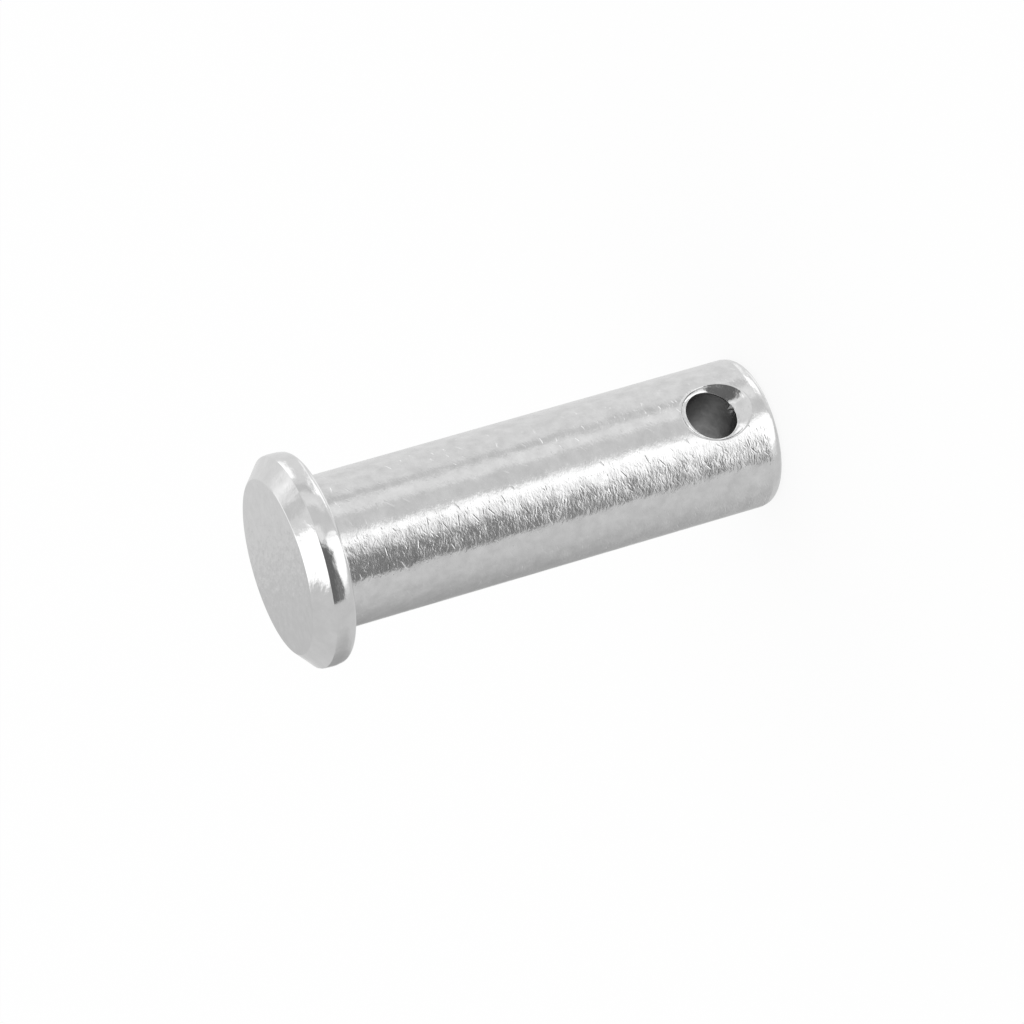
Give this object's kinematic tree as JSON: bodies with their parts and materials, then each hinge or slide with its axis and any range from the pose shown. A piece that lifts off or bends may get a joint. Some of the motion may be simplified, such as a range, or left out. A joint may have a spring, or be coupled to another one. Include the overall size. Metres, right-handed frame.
{
  "type": "clevis pin",
  "caption": "Clevis pin with a bevelled flat head, a plain round shank and a countersunk cross hole near its end for a split pin.",
  "frame": {"origin": "centre of the plain end face, on which the pin stands", "axes": "+Z along the pin's axis from the plain end to the head; Y along the cross hole"},
  "size_m": [0.011, 0.011, 0.0263],
  "materials": {
    "zinc_plate": "bright clear zinc plate over cold-drawn steel, with fine drawing and barrelling marks"
  },
  "bodies": {
    "root": {"clevis_pin": "zinc_plate"}
  },
  "joints": []
}
